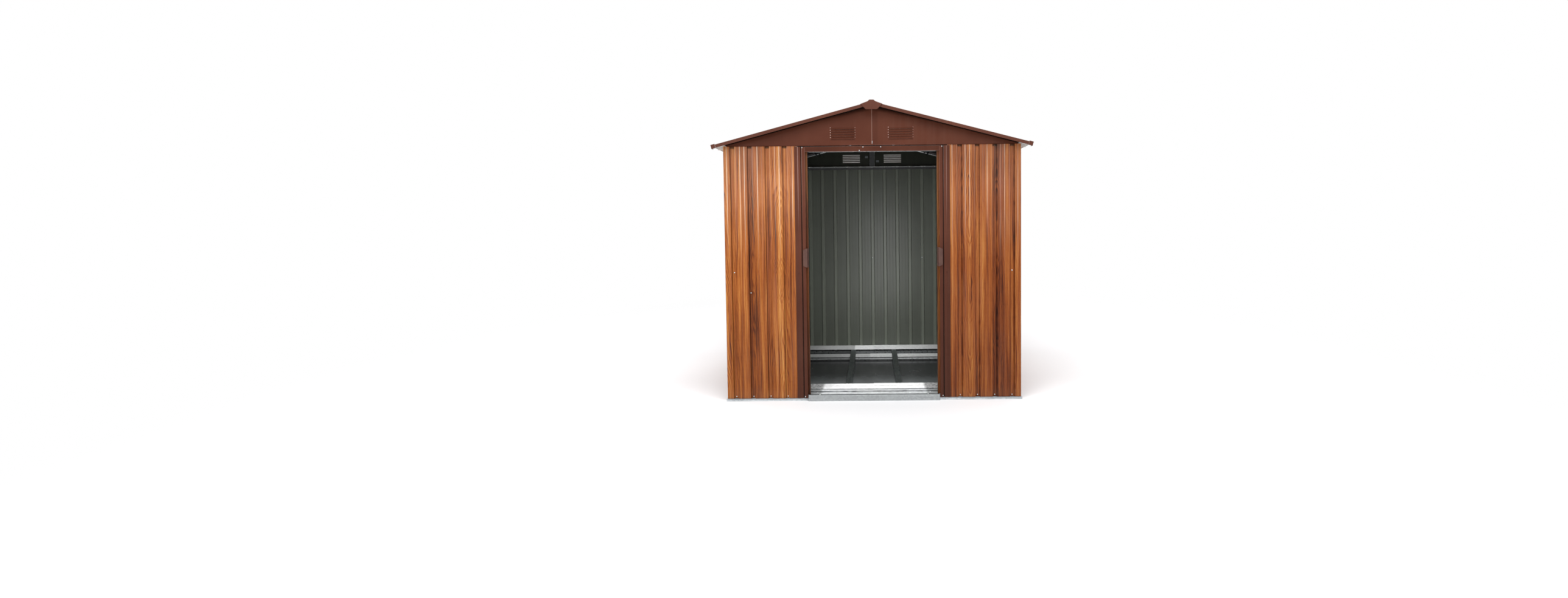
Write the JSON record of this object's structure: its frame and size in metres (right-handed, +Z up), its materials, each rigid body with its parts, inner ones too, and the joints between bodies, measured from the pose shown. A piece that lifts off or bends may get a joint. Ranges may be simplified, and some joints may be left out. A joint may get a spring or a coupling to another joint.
{
  "type": "metal storage shed",
  "caption": "Apex metal garden shed with ribbed wood-look wall sheets, sliding doors in brown jambs, louvred gables, a ribbed roof and a galvanised floor frame.",
  "frame": {"origin": "on the ground under the middle of the shed", "axes": "+Z up; the doorway faces -Y; +X to the right of someone who looks in through the doorway"},
  "size_m": [1.932, 1.2006, 1.833],
  "materials": {
    "wood_look_sheet": "satin, printed wood grain",
    "brown_sheet": "satin",
    "galvanised_steel": "satin, spangled",
    "brown_plastic": "matte"
  },
  "bodies": {
    "shed": {"corner_caps": "brown_plastic", "corner_sheets_front": "wood_look_sheet", "corner_sheets_rear": "wood_look_sheet", "cross_rails": "galvanised_steel", "door_guide_lower": "galvanised_steel", "door_header": "brown_sheet", "door_sill": "galvanised_steel", "door_track_upper": "galvanised_steel", "eaves_trims": "brown_sheet", "floor_bars": "galvanised_steel", "floor_rail_front": "galvanised_steel", "floor_rail_left": "galvanised_steel", "floor_rail_rear": "galvanised_steel", "floor_rail_right": "galvanised_steel", "floor_sheet": "galvanised_steel", "floor_tread_front": "galvanised_steel", "front_wall_left": "wood_look_sheet", "front_wall_right": "wood_look_sheet", "gable_braces": "galvanised_steel", "gable_front_left": "brown_sheet", "gable_front_right": "brown_sheet", "gable_rear_left": "brown_sheet", "gable_rear_right": "brown_sheet", "jamb_left": "brown_sheet", "jamb_right": "brown_sheet", "rake_trims_front": "brown_sheet", "rake_trims_rear": "brown_sheet", "rear_wall": "wood_look_sheet", "ridge_beam": "galvanised_steel", "ridge_cap": "brown_sheet", "ridge_ends": "brown_plastic", "roof_beams": "galvanised_steel", "roof_panel_left": "brown_sheet", "roof_panel_right": "brown_sheet", "side_wall_left": "wood_look_sheet", "side_wall_right": "wood_look_sheet", "top_rail_left": "galvanised_steel", "top_rail_rear": "galvanised_steel", "top_rail_right": "galvanised_steel"},
    "sliding_door_left": {"door_left": "wood_look_sheet", "door_bars_left": "galvanised_steel", "door_hangers_left": "brown_plastic", "door_handle_left": "brown_plastic"},
    "sliding_door_right": {"door_right": "wood_look_sheet", "door_bars_right": "galvanised_steel", "door_hangers_right": "brown_plastic", "door_handle_right": "brown_plastic"}
  },
  "joints": [
    {"name": "door_left_slide", "type": "slide", "parent": "shed", "child": "sliding_door_left", "axis": [1, 0, 0], "range_m": [0, 0.3945]},
    {"name": "door_right_slide", "type": "slide", "parent": "shed", "child": "sliding_door_right", "axis": [-1, 0, 0], "range_m": [0, 0.3945]}
  ]
}
